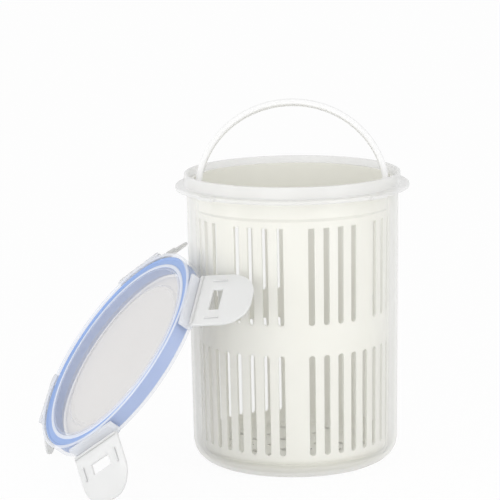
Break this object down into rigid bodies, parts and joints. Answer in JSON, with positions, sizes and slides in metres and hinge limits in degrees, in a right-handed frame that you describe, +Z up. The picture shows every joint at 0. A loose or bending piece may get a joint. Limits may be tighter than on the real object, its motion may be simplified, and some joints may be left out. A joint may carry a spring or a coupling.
{
  "type": "pickle keeper with lift strainer",
  "caption": "Round frosted food keeper with a slotted lift-out strainer on a swing handle and a gasketed lid with four folding lock wings, lid off and leaning.",
  "frame": {"origin": "centre of the keeper's foot, on the table", "axes": "+Z up along the keeper's axis, +X to the right along the handle's pivot line, -Y towards the camera"},
  "size_m": [0.1929, 0.1594, 0.1848],
  "materials": {
    "frosted_body": "frosted translucent",
    "strainer": "frosted translucent",
    "handle": "satin",
    "lid": "frosted translucent",
    "gasket": "matte silicone",
    "wing": "satin"
  },
  "bodies": {
    "keeper": {"keeper_body": "frosted_body"},
    "strainer": {"strainer_basket": "strainer"},
    "handle": {"swing_handle": "handle"},
    "lid": {"lid_shell": "lid", "lid_gasket": "gasket"},
    "wing_near": {"lock_wing_near": "wing"},
    "wing_front": {"lock_wing_front": "wing"},
    "wing_back": {"lock_wing_back": "wing"},
    "wing_far": {"lock_wing_far": "wing"}
  },
  "joints": [
    {"name": "basket_lift", "type": "slide", "parent": "keeper", "child": "strainer", "axis": [0, 0, 1], "range_m": [0, 0.15]},
    {"name": "handle_swing", "type": "hinge", "parent": "strainer", "child": "handle", "pos_m": [0, 0, 0.14], "axis": [1, 0, 0], "range_deg": [-62, 118]},
    {"name": "lid_lift", "type": "slide", "parent": "keeper", "child": "lid", "axis": [-0.7405, -0.2695, 0.6157], "range_m": [0, 0.15]},
    {"name": "wing_near_fold", "type": "hinge", "parent": "lid", "child": "wing_near", "pos_m": [-0.04768, -0.06232, 0.09587], "axis": [-0.1701, -0.8111, -0.5596], "range_deg": [-12, 126]},
    {"name": "wing_front_fold", "type": "hinge", "parent": "lid", "child": "wing_front", "pos_m": [-0.09804, -0.08024, 0.02744], "axis": [-0.6502, 0.5191, -0.5548], "range_deg": [-12, 126]},
    {"name": "wing_back_fold", "type": "hinge", "parent": "lid", "child": "wing_back", "pos_m": [-0.12752, 0.00143, 0.02774], "axis": [0.1701, 0.8111, 0.5596], "range_deg": [-7, 131]},
    {"name": "wing_far_fold", "type": "hinge", "parent": "lid", "child": "wing_far", "pos_m": [-0.07715, 0.01936, 0.09617], "axis": [0.6502, -0.5191, 0.5548], "range_deg": [-18, 120]}
  ]
}
